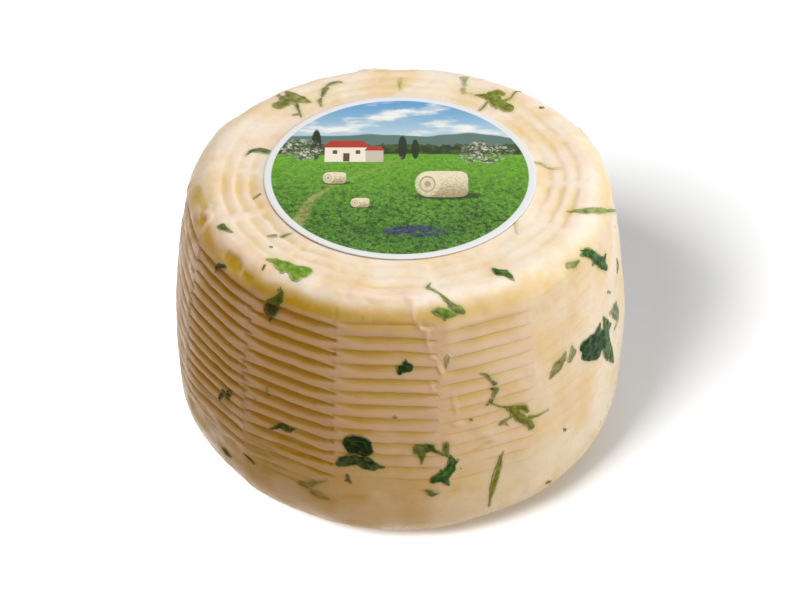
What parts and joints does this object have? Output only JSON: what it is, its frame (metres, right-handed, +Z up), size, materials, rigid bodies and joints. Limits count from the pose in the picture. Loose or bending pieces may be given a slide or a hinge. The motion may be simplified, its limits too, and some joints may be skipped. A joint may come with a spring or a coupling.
{
  "type": "primo sale cheese with rocket",
  "caption": "Low round wheel of young white cheese with ribbed basket marks round its side, torn rocket leaves in its skin and a round paper label on top.",
  "frame": {"origin": "middle of the flat foot that the wheel stands on", "axes": "+Z up through the middle of the wheel, -Y towards the front that the picture shows, +X to its right"},
  "size_m": [0.172, 0.1719, 0.112],
  "materials": {
    "fresh_cheese": "moist, soft gloss, ivory with mustard hollows",
    "paper_label": "printed coated paper, soft gloss",
    "rocket_leaf": "moist leaf green"
  },
  "bodies": {
    "root": {"cheese_wheel": "fresh_cheese", "label": "paper_label", "leaf_01": "rocket_leaf", "leaf_02": "rocket_leaf", "leaf_03": "rocket_leaf", "leaf_04": "rocket_leaf", "leaf_05": "rocket_leaf", "leaf_06": "rocket_leaf", "leaf_07": "rocket_leaf", "leaf_08": "rocket_leaf", "leaf_09": "rocket_leaf", "leaf_10": "rocket_leaf", "leaf_11": "rocket_leaf", "leaf_12": "rocket_leaf", "leaf_13": "rocket_leaf", "leaf_14": "rocket_leaf", "leaf_15": "rocket_leaf", "leaf_16": "rocket_leaf", "leaf_17": "rocket_leaf", "leaf_18": "rocket_leaf", "leaf_19": "rocket_leaf", "leaf_20": "rocket_leaf", "leaf_21": "rocket_leaf", "leaf_22": "rocket_leaf", "leaf_23": "rocket_leaf", "leaf_24": "rocket_leaf", "leaf_25": "rocket_leaf", "leaf_26": "rocket_leaf", "leaf_27": "rocket_leaf", "leaf_28": "rocket_leaf", "leaf_29": "rocket_leaf", "leaf_30": "rocket_leaf", "leaf_31": "rocket_leaf", "leaf_32": "rocket_leaf", "leaf_33": "rocket_leaf", "leaf_34": "rocket_leaf", "leaf_35": "rocket_leaf", "leaf_36": "rocket_leaf", "leaf_37": "rocket_leaf", "leaf_38": "rocket_leaf", "leaf_39": "rocket_leaf", "leaf_40": "rocket_leaf", "leaf_41": "rocket_leaf", "leaf_42": "rocket_leaf", "leaf_43": "rocket_leaf", "leaf_44": "rocket_leaf", "leaf_45": "rocket_leaf", "leaf_46": "rocket_leaf", "leaf_47": "rocket_leaf", "leaf_48": "rocket_leaf", "leaf_49": "rocket_leaf", "leaf_50": "rocket_leaf", "leaf_51": "rocket_leaf", "leaf_52": "rocket_leaf", "leaf_53": "rocket_leaf", "leaf_54": "rocket_leaf"}
  },
  "joints": []
}
